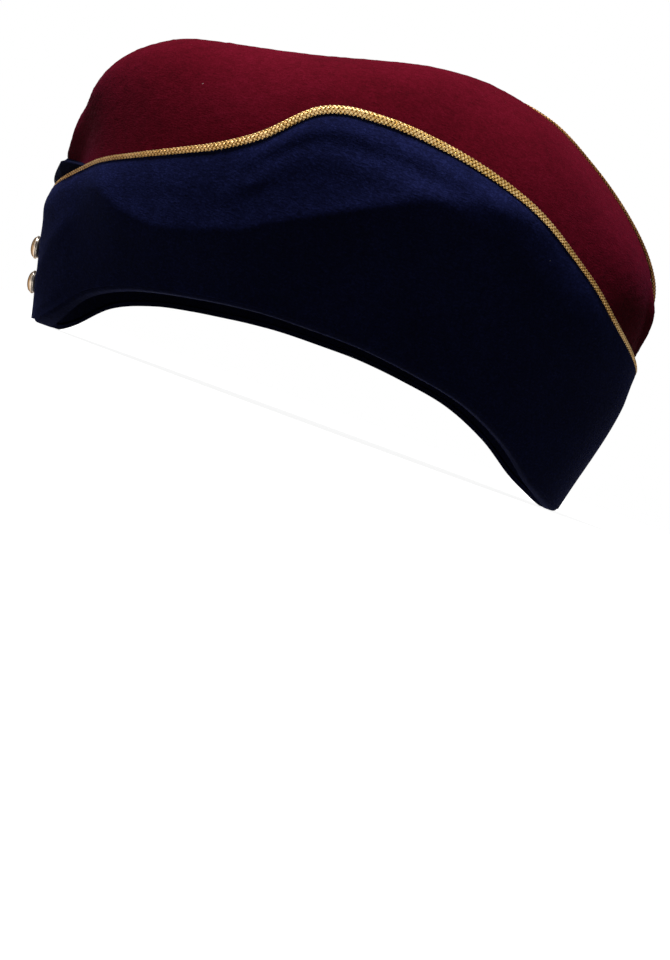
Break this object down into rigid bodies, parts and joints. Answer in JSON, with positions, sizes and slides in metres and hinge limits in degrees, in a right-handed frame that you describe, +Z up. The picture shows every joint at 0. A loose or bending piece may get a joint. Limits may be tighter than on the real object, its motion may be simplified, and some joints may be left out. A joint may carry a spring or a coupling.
{
  "type": "side cap",
  "caption": "Soft wool side cap with a maroon crown, navy turned-up flaps edged in gold cord, a small folded front peak and small gilt front buttons, open below for the head.",
  "frame": {"origin": "the middle of the cap's box in plan, on the surface that the front and rear tips of the rim rest on", "axes": "+X from the front of the cap to its rear, -Y to the wearer's left, +Z up"},
  "size_m": [0.2514, 0.162, 0.1534],
  "materials": {
    "maroon_wool": "milled wool cloth with a short nap, deep maroon",
    "navy_wool": "milled wool cloth with a short nap, very dark navy",
    "gold_cord": "braided gold cord with a dull metallic sheen",
    "gilt": "gilt brass, softly polished and slightly dulled"
  },
  "bodies": {
    "root": {"band": "navy_wool", "crown_left": "maroon_wool", "crown_right": "maroon_wool", "crown_piping": "gold_cord", "flap_left": "navy_wool", "flap_right": "navy_wool", "flap_piping_left": "gold_cord", "flap_piping_right": "gold_cord", "front_peak": "navy_wool", "button_lower": "gilt", "button_upper": "gilt"}
  },
  "joints": []
}
